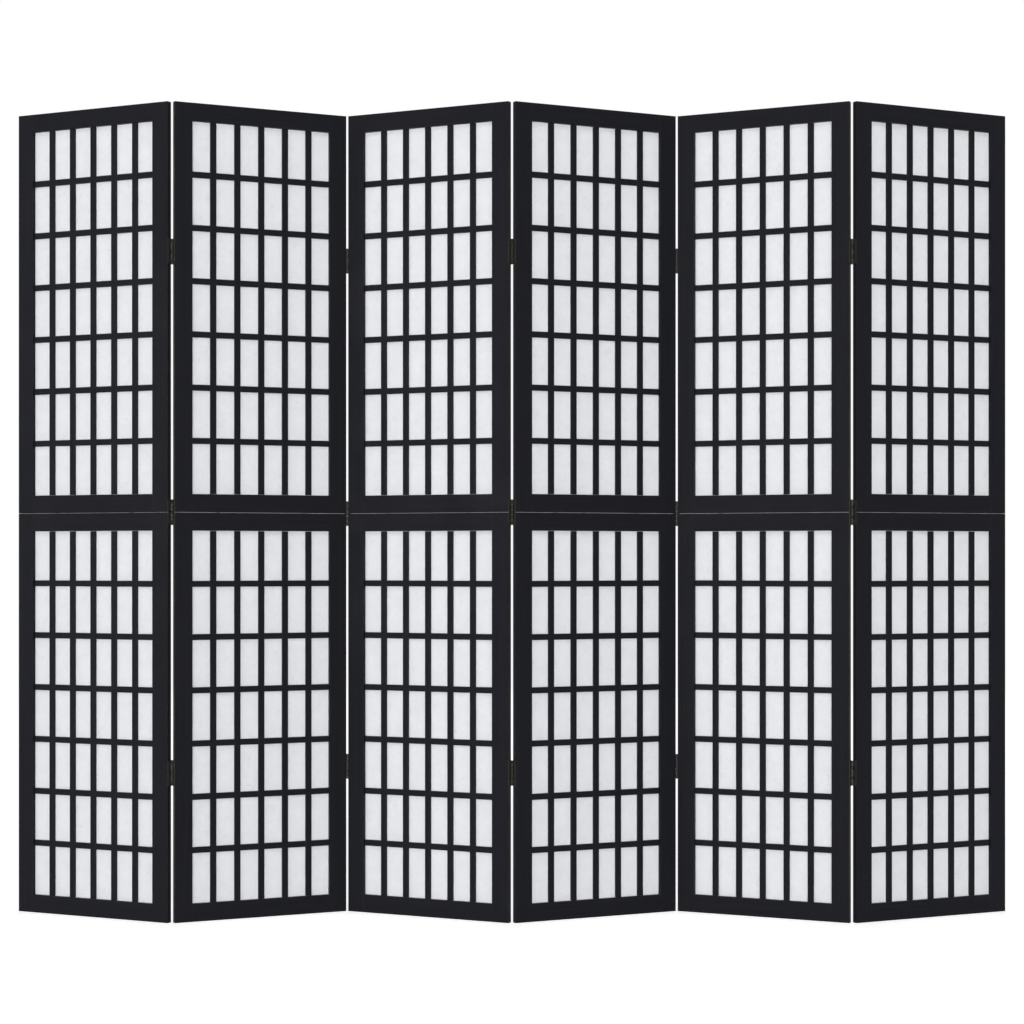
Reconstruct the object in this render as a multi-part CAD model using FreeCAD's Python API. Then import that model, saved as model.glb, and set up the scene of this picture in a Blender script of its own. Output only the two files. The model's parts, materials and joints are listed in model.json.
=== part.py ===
import FreeCAD, Part
import math
import os
from functools import cache
from FreeCAD import Placement, Rotation, Vector

# Folding screen: hinged panels that stand in a zigzag. A panel is a lower and an upper
# frame, each filled with a lattice of thin bars in front of a stretched sheet of paper.
# Millimetres and degrees. X runs along the screen, -Y is the front, Z is up.
# The origin is on the floor, in the middle of the standing screen.

# Whole screen
panel_count = 6
panel_width = 400.0
panel_height = 1800.0
fold_turn = 24.8            # turn of each panel out of the straight line, as it stands
fold_gap = 4.0              # between the edges of two panels that are opened flat
pin_offset = 0.5            # hinge pin's centre beyond the face that the fold closes on

# Frames
frame_thickness = 14.0
stile_width = 40.0
rail_width = 40.0
seam_gap = 0.5              # between the lower and the upper frame
edge_radius = 0.5           # on the long outer edges and along the top and bottom
tenon_length = 15.0
tenon_thickness = 5.0
tenon_shoulder = 6.0        # from the rail's outer edge, and from the rabbet
mortise_clearance = 0.05
mortise_end_gap = 1.0

# Lattice
upright_bar_count = 5
cross_bar_count = 6
bar_width = 13.3
bar_depth = 5.0
lattice_recess = 3.5        # bars' front behind the frame's front
bar_end_gap = 0.6           # between a bar's end and the frame
lap_clearance = 0.05

# Paper and the beads that hold it
rabbet_width = 8.0          # step at the back of the frame, round the opening
paper_thickness = 0.4
paper_edge_gap = 0.5
bead_edge_gap = 0.2

# Dowels across the seam
dowel_diameter = 6.0
dowel_wall = 3.0            # wood between a dowel's hole and the rabbet
dowel_inset = 100.0         # from the panel's edges
dowel_clearance = 0.05
dowel_end_gap = 1.0

# Hinges
hinge_height = 55.0
hinge_inset = 328.0         # outer hinges' middles from the top and from the bottom
leaf_thickness = 1.0
leaf_inset = 0.7            # leaf's free edge from the face across from the pin
leaf_corner_radius = 1.5
leaf_root_gap = 0.3         # leaf's plate stops this far short of the pin's centre
knuckle_count = 5
knuckle_clearance = 0.3     # between turning pieces, along and across the pin
pin_diameter = 1.6
pin_running_clearance = 0.05
pin_head_height = 0.7
pin_head_clearance = 0.1

# Hinge screws, countersunk
screw_inset = 7.3           # screws' middles from the leaf's ends
screw_diameter = 2.5
screw_head_diameter = 4.5
screw_length = 13.0         # in the wood
screw_point_length = 2.5
screw_point_diameter = 0.6
screw_clearance = 0.05
recess_length = 2.8         # cross recess in the head
recess_width = 0.6
recess_depth = 0.6

# One overrun for all cuts that pass through a face, and how nearly an edge is parallel
overrun = 1.0
parallel_share = 1e-6

# Sizes that follow
half_height = (panel_height - seam_gap) / 2
seam_height = panel_height / 2
opening_width = panel_width - 2 * stile_width
opening_height = half_height - 2 * rail_width
paper_front = lattice_recess + bar_depth
bead_front = paper_front + paper_thickness
dowel_insert = rail_width - rabbet_width - dowel_wall - dowel_end_gap
leaf_reach = pin_offset + frame_thickness - leaf_inset
knuckle_diameter = fold_gap - 2 * knuckle_clearance
screw_rise = hinge_height / 2 - screw_inset
turn_sine = math.sin(math.radians(fold_turn))
turn_cosine = math.cos(math.radians(fold_turn))
pin_spacing_x = (panel_width + fold_gap) * turn_cosine + (frame_thickness + 2 * pin_offset) * turn_sine
pin_spacing_y = (panel_width + fold_gap) * turn_sine - (frame_thickness + 2 * pin_offset) * turn_cosine

X_AXIS = Vector(1, 0, 0)
Y_AXIS = Vector(0, 1, 0)
Z_AXIS = Vector(0, 0, 1)


def block(low, high):
    """A box between two corners."""
    size = Vector(*high) - Vector(*low)
    return Part.makeBox(size.x, size.y, size.z, Vector(*low))


def moved(shape, offset, axis=Z_AXIS, angle=0.0):
    """A copy that is turned about a line through the origin and then shifted."""
    copy = shape.copy()
    copy.Placement = Placement(offset, Rotation(axis, angle)).multiply(copy.Placement)
    return copy


def edges_along(shape, axis, test):
    """The straight edges that run along an axis and whose middle passes a test."""
    found = []
    for edge in shape.Edges:
        run = edge.Vertexes[-1].Point - edge.Vertexes[0].Point
        if run.cross(axis).Length < run.Length * parallel_share and test(edge.CenterOfMass):
            found.append(edge)
    return found


# A half panel is made as the upper frame: its seam end at z = 0, its front at y = 0,
# its left edge at x = 0. The lower frame is its mirror image below the seam.


@cache
def half_blank():
    """The outline of a half panel, rounded along its side edges and along its top."""
    plain = block((0, 0, 0), (panel_width, frame_thickness, half_height))
    sides = edges_along(plain, Z_AXIS, lambda middle: True)
    tops = edges_along(plain, X_AXIS, lambda middle: middle.z > half_height / 2)
    return plain.makeFillet(edge_radius, sides).common(plain.makeFillet(edge_radius, tops))


@cache
def rabbet():
    """The step behind the opening that takes the paper and its beads."""
    return block(
        (stile_width - rabbet_width, paper_front, rail_width - rabbet_width),
        (
            panel_width - stile_width + rabbet_width,
            frame_thickness + overrun,
            half_height - rail_width + rabbet_width,
        ),
    )


def tenon_bar(at_top, clearance, end_gap):
    """A bar through the whole rail whose two ends are the tenons, or their mortises."""
    outer = tenon_shoulder - clearance
    inner = rail_width - rabbet_width - tenon_shoulder + clearance
    low, high = (half_height - inner, half_height - outer) if at_top else (outer, inner)
    front = (frame_thickness - tenon_thickness) / 2 - clearance
    reach = stile_width - tenon_length - end_gap
    return block((reach, front, low), (panel_width - reach, frame_thickness - front, high))


def dowel_places():
    """Distances of the dowels from the panel's left edge."""
    return [dowel_inset, panel_width - dowel_inset]


def dowel_holes():
    """The holes for the dowels in the rail at the seam."""
    depth = dowel_insert + dowel_end_gap
    radius = dowel_diameter / 2 + dowel_clearance
    return [
        Part.makeCylinder(radius, depth + overrun, Vector(x, frame_thickness / 2, -overrun))
        for x in dowel_places()
    ]


@cache
def half_rails():
    """The rail at the seam and the rail at the top, with their tenons."""
    rails = []
    for at_top in (False, True):
        low = half_height - rail_width if at_top else 0
        body = block((stile_width, 0, low), (panel_width - stile_width, frame_thickness, low + rail_width))
        rail = body.common(half_blank()).cut(rabbet()).fuse(tenon_bar(at_top, 0, 0))
        if not at_top:
            rail = rail.cut(Part.makeCompound(dowel_holes()))
        rails.append(rail.removeSplitter())
    return rails


def screw_heights():
    """Heights of the hinge screws in a half panel, above its seam end."""
    upper_hinge = half_height - hinge_inset
    return [upper_hinge - screw_rise, upper_hinge + screw_rise, screw_rise - seam_gap / 2]


@cache
def half_stile(hinged):
    """The left stile, with its mortises and, where it is hinged, the screws' pilot holes."""
    stile = block((0, 0, 0), (stile_width, frame_thickness, half_height)).common(half_blank())
    cuts = [rabbet()]
    for at_top in (False, True):
        cuts.append(tenon_bar(at_top, mortise_clearance, mortise_end_gap))
    if hinged:
        radius = screw_diameter / 2 + screw_clearance
        for height in screw_heights():
            start = Vector(-overrun, frame_thickness / 2, height)
            cuts.append(Part.makeCylinder(radius, screw_length + screw_clearance + overrun, start, X_AXIS))
    return stile.cut(Part.makeCompound(cuts)).removeSplitter()


def upright_centres():
    """Middles of the upright bars, which divide the opening into equal clear cells."""
    cell = (opening_width - upright_bar_count * bar_width) / (upright_bar_count + 1)
    return [stile_width + (cell + bar_width) * (n + 1) - bar_width / 2 for n in range(upright_bar_count)]


def cross_centres():
    """Middles of the cross bars, spaced evenly from rail to rail."""
    pitch = opening_height / (cross_bar_count + 1)
    return [rail_width + pitch * (n + 1) for n in range(cross_bar_count)]


@cache
def half_upright_bars():
    """The upright bars, each notched at its back half for the cross bars."""
    half = bar_width / 2 + lap_clearance
    notch_front = lattice_recess + bar_depth / 2 - lap_clearance
    bars = []
    for x in upright_centres():
        bar = block(
            (x - bar_width / 2, lattice_recess, rail_width + bar_end_gap),
            (x + bar_width / 2, paper_front, half_height - rail_width - bar_end_gap),
        )
        notches = [
            block((x - bar_width, notch_front, z - half), (x + bar_width, paper_front + overrun, z + half))
            for z in cross_centres()
        ]
        bars.append(bar.cut(Part.makeCompound(notches)))
    return bars


@cache
def half_cross_bars():
    """The cross bars, each notched at its front half for the upright bars."""
    half = bar_width / 2 + lap_clearance
    notch_back = lattice_recess + bar_depth / 2 + lap_clearance
    bars = []
    for z in cross_centres():
        bar = block(
            (stile_width + bar_end_gap, lattice_recess, z - bar_width / 2),
            (panel_width - stile_width - bar_end_gap, paper_front, z + bar_width / 2),
        )
        notches = [
            block((x - half, lattice_recess - overrun, z - bar_width), (x + half, notch_back, z + bar_width))
            for x in upright_centres()
        ]
        bars.append(bar.cut(Part.makeCompound(notches)))
    return bars


def half_paper():
    """The sheet of paper, its margins lying on the rabbet."""
    margin = rabbet_width - paper_edge_gap
    return block(
        (stile_width - margin, paper_front, rail_width - margin),
        (panel_width - stile_width + margin, bead_front, half_height - rail_width + margin),
    )


def half_beads():
    """Two upright beads and two cross beads between them, flush with the frame's back."""
    margin = rabbet_width - bead_edge_gap
    left = stile_width - margin
    right = panel_width - left
    bottom = rail_width - margin
    top = half_height - bottom
    beads = []
    for x in (left, right - margin):
        beads.append(block((x, bead_front, bottom), (x + margin, frame_thickness, top)))
    for z in (bottom, top - margin):
        beads.append(
            block((left + margin, bead_front, z), (right - margin, frame_thickness, z + margin))
        )
    return beads


def dowels():
    """The dowels of a panel, half in the lower and half in the upper frame."""
    length = 2 * dowel_insert + seam_gap
    return [
        Part.makeCylinder(
            dowel_diameter / 2, length, Vector(x, frame_thickness / 2, seam_height - length / 2)
        )
        for x in dowel_places()
    ]


def both_halves(shapes):
    """The upper frame's shapes in their place, and their mirror images in the lower frame."""
    placed = []
    for shape in shapes:
        upper = moved(shape, Vector(0, 0, seam_height + seam_gap / 2))
        placed.append(upper)
        placed.append(upper.mirror(Vector(0, 0, seam_height), Z_AXIS))
    return placed


def mirrored_across(shapes):
    """Shapes of the left side of a panel, moved to its right side."""
    return [shape.mirror(Vector(panel_width / 2, 0, 0), X_AXIS) for shape in shapes]


# A hinge is made about its pin, which stands on the origin. The panel that carries the
# leaf is at -X and -Y: its edge is the plane x = -fold_gap / 2.


def knuckle_spans():
    """Low and high ends of the knuckles along the pin."""
    length = (hinge_height - (knuckle_count - 1) * knuckle_clearance) / knuckle_count
    lows = [-hinge_height / 2 + n * (length + knuckle_clearance) for n in range(knuckle_count)]
    return [(low, low + length) for low in lows]


@cache
def hinge_leaf(first):
    """A leaf on a panel's edge; `first` picks its set of knuckles, every other one."""
    front = -fold_gap / 2
    plate = block(
        (front, -leaf_reach, -hinge_height / 2),
        (front + leaf_thickness, -leaf_root_gap, hinge_height / 2),
    )
    corners = edges_along(plate, X_AXIS, lambda middle: middle.y < -leaf_reach / 2)
    leaf = plate.makeFillet(leaf_corner_radius, corners)
    rings = []
    clearings = []
    for number, (low, high) in enumerate(knuckle_spans()):
        if number % 2 == first:
            rings.append(Part.makeCylinder(knuckle_diameter / 2, high - low, Vector(0, 0, low)))
        else:
            span = high - low + 2 * knuckle_clearance
            radius = knuckle_diameter / 2 + knuckle_clearance
            clearings.append(Part.makeCylinder(radius, span, Vector(0, 0, low - knuckle_clearance)))
    bore = Part.makeCylinder(
        pin_diameter / 2 + pin_running_clearance,
        hinge_height + 2 * overrun,
        Vector(0, 0, -hinge_height / 2 - overrun),
    )
    leaf = leaf.cut(Part.makeCompound(clearings)).multiFuse(rings)
    cuts = [bore] + [screw_cone(z, screw_clearance) for z in (-screw_rise, screw_rise)]
    return leaf.cut(Part.makeCompound(cuts)).removeSplitter()


def screw_seat(height):
    """The point on the panel's edge where a hinge screw goes in."""
    depth = pin_offset + frame_thickness / 2
    return Vector(-fold_gap / 2, -depth, height)


def screw_cone(height, clearance):
    """The countersunk head of a hinge screw, or its seat in the leaf."""
    return Part.makeCone(
        screw_diameter / 2 + clearance,
        screw_head_diameter / 2 + clearance,
        leaf_thickness,
        screw_seat(height),
        X_AXIS,
    )


@cache
def hinge_screw(height):
    """A countersunk wood screw with a cross recess."""
    seat = screw_seat(height)
    straight = screw_length - screw_point_length
    shank = Part.makeCylinder(screw_diameter / 2, straight, seat, -X_AXIS)
    point = Part.makeCone(
        screw_diameter / 2, screw_point_diameter / 2, screw_point_length, seat - X_AXIS * straight, -X_AXIS
    )
    screw = screw_cone(height, 0).multiFuse([shank, point])
    face = seat + X_AXIS * leaf_thickness
    for half_y, half_z in ((recess_length / 2, recess_width / 2), (recess_width / 2, recess_length / 2)):
        low = face - Vector(recess_depth, half_y, half_z)
        high = face + Vector(overrun, half_y, half_z)
        screw = screw.cut(block(low, high))
    return screw.removeSplitter()


@cache
def hinge_pin():
    """A pin with a flat head as wide as the knuckles at each end, which keeps it in them."""
    end = hinge_height / 2 + pin_head_clearance
    pin = Part.makeCylinder(pin_diameter / 2, 2 * end, Vector(0, 0, -end))
    heads = [
        Part.makeCylinder(knuckle_diameter / 2, pin_head_height, Vector(0, 0, end)),
        Part.makeCylinder(knuckle_diameter / 2, pin_head_height, Vector(0, 0, -end - pin_head_height)),
    ]
    return pin.multiFuse(heads).removeSplitter()


def hinge_heights():
    """Heights of the middles of a fold's three hinges."""
    return [hinge_inset, seam_height, panel_height - hinge_inset]


# The zigzag. Folds with an even number point to the front and close on the panels' backs;
# the others point to the back and close on the panels' fronts.


def folds_to_back(fold):
    """Whether a fold's pins are behind the panels."""
    return fold % 2 == 0


def pin_point(fold):
    """Foot of a fold's pin line on the floor; fold n is at the right of panel n."""
    middle = (panel_count - 2) / 2
    y = -pin_spacing_y / 2 if folds_to_back(fold) else pin_spacing_y / 2
    return Vector((fold - middle) * pin_spacing_x, y, 0)


def pin_in_panel(fold, at_right):
    """The same point in the plain frame of the panel at its left or at its right."""
    x = panel_width + fold_gap / 2 if at_right else -fold_gap / 2
    y = frame_thickness + pin_offset if folds_to_back(fold) else -pin_offset
    return Vector(x, y, 0)


def standing(shapes, panel):
    """Shapes of a panel, moved from its plain frame to where it stands in the zigzag."""
    angle = -fold_turn if panel % 2 == 0 else fold_turn
    left_pin = Rotation(Z_AXIS, angle).multVec(pin_in_panel(panel - 1, False))
    return [moved(shape, pin_point(panel - 1) - left_pin, Z_AXIS, angle) for shape in shapes]


def on_edge(shape, fold, at_right):
    """A hinge piece, set on a panel's left or right edge at the heights of the hinges."""
    turn = {
        (True, True): (Z_AXIS, 0.0),
        (False, True): (Y_AXIS, 180.0),
        (True, False): (X_AXIS, 180.0),
        (False, False): (Z_AXIS, 180.0),
    }[(at_right, folds_to_back(fold))]
    foot = pin_in_panel(fold, at_right)
    return [moved(shape, foot + Z_AXIS * height, *turn) for height in hinge_heights()]


def panel_pieces(panel):
    """All pieces of a panel in its plain frame, by the name of their group."""
    hinged_left = panel > 0
    hinged_right = panel < panel_count - 1
    stiles = both_halves([half_stile(hinged_left)] + mirrored_across([half_stile(hinged_right)]))
    leaves = []
    screws = []
    for at_right, hinged in ((False, hinged_left), (True, hinged_right)):
        if hinged:
            fold = panel if at_right else panel - 1
            leaves += on_edge(hinge_leaf(0 if at_right else 1), fold, at_right)
            for height in (-screw_rise, screw_rise):
                screws += on_edge(hinge_screw(height), fold, at_right)
    return {
        "stiles": stiles,
        "rails": both_halves(half_rails()),
        "upright_bars": both_halves(half_upright_bars()),
        "cross_bars": both_halves(half_cross_bars()),
        "papers": both_halves([half_paper()]),
        "paper_beads": both_halves(half_beads()),
        "dowels": dowels(),
        "hinge_leaves": leaves,
        "hinge_screws": screws,
    }


def write_node(name, shapes):
    """One node: a group of separate solids in one file."""
    group = Part.makeCompound(shapes)
    if not group.isValid():
        raise ValueError(name + " is not valid")
    group.exportStep(os.path.join("parts", name + ".step"))
    print(name, len(group.Solids), "solids", round(group.Volume), "mm3")


def main():
    """Build every panel and the pins of every fold."""
    os.makedirs("parts", exist_ok=True)
    for panel in range(panel_count):
        for group, shapes in panel_pieces(panel).items():
            write_node(f"panel_{panel + 1}_{group}", standing(shapes, panel))
    for fold in range(panel_count - 1):
        foot = pin_point(fold)
        pins = [moved(hinge_pin(), foot + Z_AXIS * height) for height in hinge_heights()]
        write_node(f"fold_{fold + 1}_{fold + 2}_hinge_pins", pins)


main()
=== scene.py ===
"""Looks of a six-panel folding screen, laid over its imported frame. Metres, Z up, -Y is the front."""
import json
import logging
import math
from dataclasses import dataclass, field, replace
from enum import Enum
from functools import cache
from typing import Any, ClassVar, Iterable, Iterator, Optional, Sequence, Union

import bpy
from mathutils import Matrix, Vector

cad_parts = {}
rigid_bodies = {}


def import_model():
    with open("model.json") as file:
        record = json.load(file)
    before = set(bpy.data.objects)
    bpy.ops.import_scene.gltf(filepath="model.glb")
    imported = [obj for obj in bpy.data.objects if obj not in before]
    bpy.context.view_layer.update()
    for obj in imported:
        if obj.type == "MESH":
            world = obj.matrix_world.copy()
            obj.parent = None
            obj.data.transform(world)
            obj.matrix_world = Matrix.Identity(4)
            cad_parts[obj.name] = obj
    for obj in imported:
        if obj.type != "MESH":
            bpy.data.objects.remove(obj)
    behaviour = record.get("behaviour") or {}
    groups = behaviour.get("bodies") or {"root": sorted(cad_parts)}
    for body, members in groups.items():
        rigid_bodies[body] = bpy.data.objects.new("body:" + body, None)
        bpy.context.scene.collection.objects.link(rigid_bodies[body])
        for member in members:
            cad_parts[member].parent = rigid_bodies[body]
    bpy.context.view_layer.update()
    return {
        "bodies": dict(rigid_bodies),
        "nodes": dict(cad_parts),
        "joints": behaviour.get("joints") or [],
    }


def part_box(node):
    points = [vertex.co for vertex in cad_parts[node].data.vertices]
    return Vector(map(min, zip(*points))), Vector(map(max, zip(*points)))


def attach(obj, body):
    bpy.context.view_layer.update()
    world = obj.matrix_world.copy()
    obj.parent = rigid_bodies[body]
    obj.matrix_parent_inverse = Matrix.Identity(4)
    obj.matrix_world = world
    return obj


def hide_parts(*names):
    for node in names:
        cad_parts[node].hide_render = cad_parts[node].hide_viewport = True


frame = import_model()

Colour = tuple[float, float, float]
Point = tuple[float, float, float]
Span = tuple[float, float]

LOG = logging.getLogger("folding_screen")
WHITE: Colour = (1.0, 1.0, 1.0)
MILLIMETRES_PER_METRE = 1000.0
MICROMETRE_DIGITS = 6
SAME_PLACE = 0.0001  # places nearer than this count as one
USUAL_NOISE: Span = (0.3, 0.7)  # most of a noise pattern lies between these values


class GrainRun(Enum):
    """Which way the grain of a painted stick runs on the standing screen."""

    UPRIGHT = "upright"
    ACROSS = "across"


class Lean(Enum):
    """Which way a panel faces at rest, as the sign of its turn about the upright axis."""

    LEFT = -1
    RIGHT = 1


class Half(Enum):
    """The two frames that a panel is made of."""

    LOWER = "lower"
    UPPER = "upper"


def deselect_all() -> None:
    """Leaves edit mode and deselects every object."""
    if bpy.context.object and bpy.context.object.mode != "OBJECT":
        bpy.ops.object.mode_set(mode="OBJECT")
    bpy.ops.object.select_all(action="DESELECT")


def take_up(piece: bpy.types.Object) -> None:
    """Makes one piece the only selected and active object.

    Args:
        piece: The piece to work on.
    """
    deselect_all()
    piece.select_set(True)
    bpy.context.view_layer.objects.active = piece


def paint(piece: bpy.types.Object, coat: bpy.types.Material) -> None:
    """Gives a piece one material.

    Args:
        piece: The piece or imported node.
        coat: Its material.
    """
    piece.data.materials.clear()
    piece.data.materials.append(coat)
    LOG.info("%s: %s", piece.name, coat.name)


def distinct(places: Iterable[float]) -> list[float]:
    """Sorts places on one axis and keeps one of those that are the same.

    Args:
        places: The places.

    Returns:
        The places that lie apart, to a micrometre.
    """
    kept: list[float] = []
    for place in sorted(places):
        if not kept or place - kept[-1] > SAME_PLACE:
            kept.append(round(place, MICROMETRE_DIGITS))
    return kept


@dataclass(frozen=True)
class Pattern:
    """A noise pattern.

    Attributes:
        scale: Features per metre of the coordinates that it reads.
        detail: How many finer layers it has.
        roughness: How strong the finer layers are.
        distortion: How far it is warped.
    """

    scale: float
    detail: float = 2.0
    roughness: float = 0.5
    distortion: float = 0.0

    def finer(self, times: float) -> "Pattern":
        """The same pattern, so many times finer."""
        return replace(self, scale=self.scale * times)


class Bench:
    """A node tree with plain calls to add nodes and join them."""

    MIX_COLOURS = (6, 7)  # a Mix node's colour inputs
    MIXED_COLOUR = 2  # and its colour output

    def __init__(self, tree: bpy.types.NodeTree) -> None:
        """Takes up an existing tree."""
        self.tree = tree

    @classmethod
    def cleared(cls, owner: Union[bpy.types.Material, bpy.types.World]) -> "Bench":
        """Empties the tree of a material or a world and takes it up.

        Args:
            owner: The material or the world.

        Returns:
            A bench on its tree.
        """
        owner.use_nodes = True
        owner.node_tree.nodes.clear()
        return cls(owner.node_tree)

    def add(self, kind: str, **settings: Any) -> bpy.types.Node:
        """Adds a node.

        Args:
            kind: The node's Blender type, without its ShaderNode prefix.
            settings: Properties that the node gets.

        Returns:
            The new node.
        """
        node = self.tree.nodes.new("ShaderNode" + kind)
        for name, value in settings.items():
            setattr(node, name, value)
        return node

    def feed(self, target: bpy.types.NodeSocket, source: Any) -> None:
        """Joins a socket to another one, or sets it to a plain value.

        Args:
            target: The input socket.
            source: An output socket, a number, or a sequence of numbers.
        """
        if isinstance(source, bpy.types.NodeSocket):
            self.tree.links.new(source, target)
        else:
            target.default_value = source

    def feed_all(self, node: bpy.types.Node, *sources: Any) -> bpy.types.Node:
        """Feeds a node's inputs in their order.

        Args:
            node: The node to feed.
            sources: Output sockets or plain values.

        Returns:
            The same node.
        """
        for target, source in zip(node.inputs, sources):
            self.feed(target, source)
        return node

    def maths(self, operation: str, *terms: Any) -> bpy.types.NodeSocket:
        """The result of a Math node for sockets or numbers, in the node's order."""
        return self.feed_all(self.add("Math", operation=operation), *terms).outputs[0]

    def vectors(self, operation: str, *terms: Any) -> bpy.types.Node:
        """A Vector Math node for sockets or vectors, in the node's order."""
        return self.feed_all(self.add("VectorMath", operation=operation), *terms)

    def remap(self, value: bpy.types.NodeSocket, source: Span,
              result: Span = (0.0, 1.0)) -> bpy.types.NodeSocket:
        """Maps a value from one range to another, and stops at the ends.

        Args:
            value: The socket to map.
            source: The values that give the two ends of the result.
            result: The two ends of the result.

        Returns:
            The mapped value's socket.
        """
        return self.feed_all(self.add("MapRange"), value, *source, *result).outputs[0]

    def noise(self, spot: bpy.types.NodeSocket, pattern: Pattern) -> bpy.types.NodeSocket:
        """Adds a noise pattern.

        Args:
            spot: The coordinates to read.
            pattern: The pattern's settings.

        Returns:
            The pattern's value socket, about 0.5 on average.
        """
        node = self.add("TexNoise")
        self.feed(node.inputs["Vector"], spot)
        node.inputs["Scale"].default_value = pattern.scale
        node.inputs["Detail"].default_value = pattern.detail
        node.inputs["Roughness"].default_value = pattern.roughness
        node.inputs["Distortion"].default_value = pattern.distortion
        return node.outputs[0]

    def blend(self, share: bpy.types.NodeSocket, *colours: Any) -> bpy.types.NodeSocket:
        """Mixes two colours.

        Args:
            share: How much of the second colour there is.
            colours: Two colour sockets or colours.

        Returns:
            The mixed colour's socket.
        """
        node = self.add("Mix", data_type="RGBA")
        self.feed(node.inputs[0], share)
        for target, colour in zip(self.MIX_COLOURS, colours):
            plain = not isinstance(colour, bpy.types.NodeSocket)
            self.feed(node.inputs[target], (*colour, 1.0) if plain else colour)
        return node.outputs[self.MIXED_COLOUR]

    def choose(self, share: bpy.types.NodeSocket, *shaders: bpy.types.Node) -> bpy.types.NodeSocket:
        """Two shaders mixed, with so much of the second one."""
        return self.feed_all(self.add("MixShader"), share, *(node.outputs[0] for node in shaders)).outputs[0]

    def object_spot(self) -> bpy.types.NodeSocket:
        """Object coordinates."""
        return self.add("TexCoord").outputs["Object"]

    def panel_spot(self, turn: bpy.types.NodeSocket) -> bpy.types.NodeSocket:
        """Object coordinates turned so that X runs along a panel.

        Args:
            turn: The panel's turn about the upright axis, in radians.

        Returns:
            The turned coordinates' socket.
        """
        turned = self.add("VectorRotate", rotation_type="Z_AXIS", invert=True)
        self.feed(turned.inputs["Vector"], self.object_spot())
        self.feed(turned.inputs["Angle"], turn)
        return turned.outputs[0]

    def facing(self) -> bpy.types.NodeSocket:
        """The direction that the surface faces."""
        return self.add("NewGeometry").outputs["Normal"]

    def place(self, effect: "Effect", **values: Any) -> bpy.types.NodeOutputs:
        """Places an effect's node group.

        Args:
            effect: The effect.
            values: A value for each of its inputs.

        Returns:
            The group's outputs by name.
        """
        node = self.add("Group", node_tree=effect.group())
        for name, value in values.items():
            self.feed(node.inputs[name.capitalize()], value)
        return node.outputs


@dataclass(frozen=True)
class Effect:
    """A pattern that finishes share, as a shader node group.

    Attributes:
        name: The group's name.
        inputs: Name and kind, Float or Vector, of each input.
        outputs: Name of each output, all of them values.
    """

    name: ClassVar[str]
    inputs: ClassVar[dict[str, str]]
    outputs: ClassVar[Sequence[str]]

    @cache
    def group(self) -> bpy.types.NodeTree:
        """Builds the group, once for all materials.

        Returns:
            The group's tree.
        """
        tree = bpy.data.node_groups.new(self.name, "ShaderNodeTree")
        for label, kind in self.inputs.items():
            tree.interface.new_socket(label, in_out="INPUT", socket_type="NodeSocket" + kind)
        for label in self.outputs:
            tree.interface.new_socket(label, in_out="OUTPUT", socket_type="NodeSocketFloat")
        bench = Bench(tree)
        given, result = tree.nodes.new("NodeGroupInput"), tree.nodes.new("NodeGroupOutput")
        bench.feed_all(result, *self.draw(bench, given.outputs))
        return tree

    def draw(self, bench: Bench, given: bpy.types.NodeOutputs) -> Sequence[bpy.types.NodeSocket]:
        """Draws the pattern; each effect has its own."""
        raise NotImplementedError


@dataclass(frozen=True)
class TimberGrain(Effect):
    """Fine timber grain, with features per metre along each axis in the input Stretch.

    Attributes:
        streaks: Streaks of darker and lighter wood.
        pores: Open pores, finer than the streaks.
        pore_edges: Where in their pattern pores begin and where they are deepest.
        mottle: Broad uneven patches of the surface.
        ripple: Marks of the brush.
        ripple_height: Height of the brush marks, where that of the streaks is 1.
        pore_depth: Depth of the pores, where the height of the streaks is 1.
    """

    name = "timber_grain"
    inputs = {"Turn": "Float", "Stretch": "Vector"}
    outputs = ("Streaks", "Mottle", "Height")
    streaks: Pattern = Pattern(1.0, detail=6.0, roughness=0.62, distortion=0.35)
    pores: Pattern = Pattern(4.3)
    pore_edges: Span = (0.56, 0.72)
    mottle: Pattern = Pattern(9.0, detail=4.0, roughness=0.6)
    ripple: Pattern = Pattern(420.0, detail=1.0)
    ripple_height: float = 0.25
    pore_depth: float = 0.55

    def draw(self, bench: Bench, given: bpy.types.NodeOutputs) -> Sequence[bpy.types.NodeSocket]:
        """Draws streaks, pores, patches and brush marks.

        Args:
            bench: The group's tree.
            given: The group's inputs by name.

        Returns:
            A socket for each output, in their order.
        """
        spot = bench.panel_spot(given["Turn"])
        drawn = bench.vectors("MULTIPLY", spot, given["Stretch"]).outputs[0]
        streaks = bench.noise(drawn, self.streaks)
        pores = bench.remap(bench.noise(drawn, self.pores), self.pore_edges)
        mottle = bench.noise(spot, self.mottle)
        raised = bench.maths("MULTIPLY_ADD", bench.noise(spot, self.ripple), self.ripple_height, streaks)
        height = bench.maths("SUBTRACT", raised, bench.maths("MULTIPLY", pores, self.pore_depth))
        return streaks, mottle, height


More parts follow.
